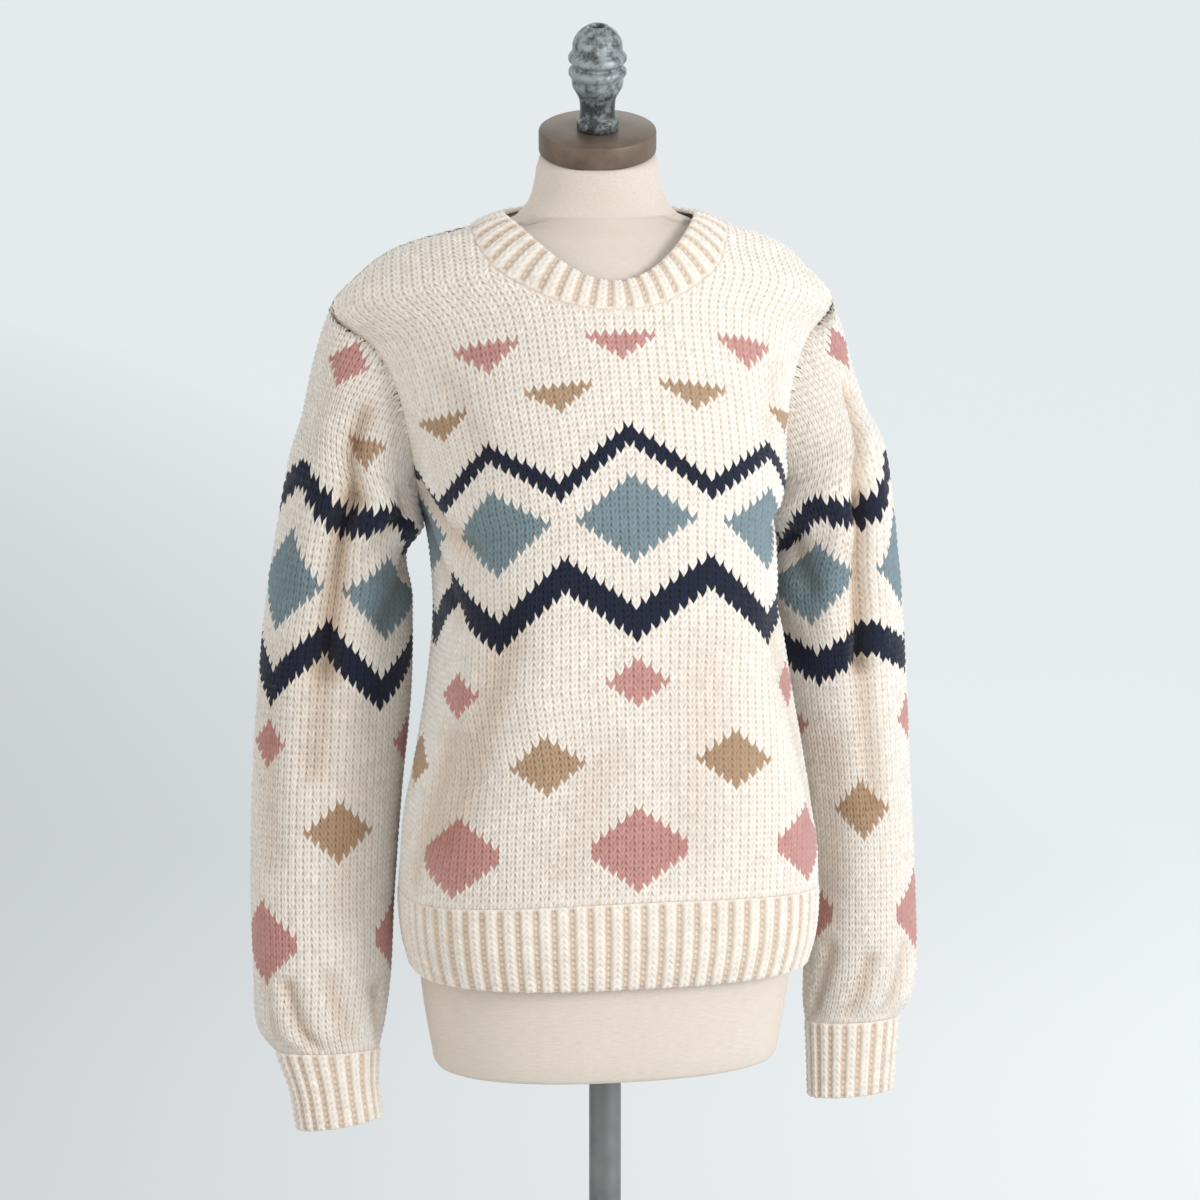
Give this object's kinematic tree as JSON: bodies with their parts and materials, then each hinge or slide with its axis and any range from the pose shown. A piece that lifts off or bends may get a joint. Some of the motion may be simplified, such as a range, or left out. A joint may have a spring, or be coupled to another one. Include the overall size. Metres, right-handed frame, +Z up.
{
  "type": "sweater on dress form",
  "caption": "Hand-knit crew-neck sweater with raised ribs and geometric colour motifs, worn by a limbless dress form with neck cap and finial on a pole stand",
  "frame": {"origin": "the middle of the stand base's underside, on the floor", "axes": "+Z up along the pole, the wearer faces -Y, the wearer's left is +X"},
  "size_m": [0.595, 0.33, 1.6],
  "materials": {
    "knit": "matt wool knit",
    "linen": "matt linen cover",
    "neck_cap": "satin",
    "finial": "worn cast metal",
    "pole": "satin",
    "stand_base": "painted satin"
  },
  "bodies": {
    "root": {"front": "knit", "back": "knit", "sleeve_right": "knit", "sleeve_left": "knit", "hem_front": "knit", "hem_back": "knit", "cuff_right": "knit", "cuff_left": "knit", "neckband": "knit", "form_torso": "linen", "neck_cap": "neck_cap", "finial": "finial", "pole": "pole", "stand_base": "stand_base"}
  },
  "joints": []
}
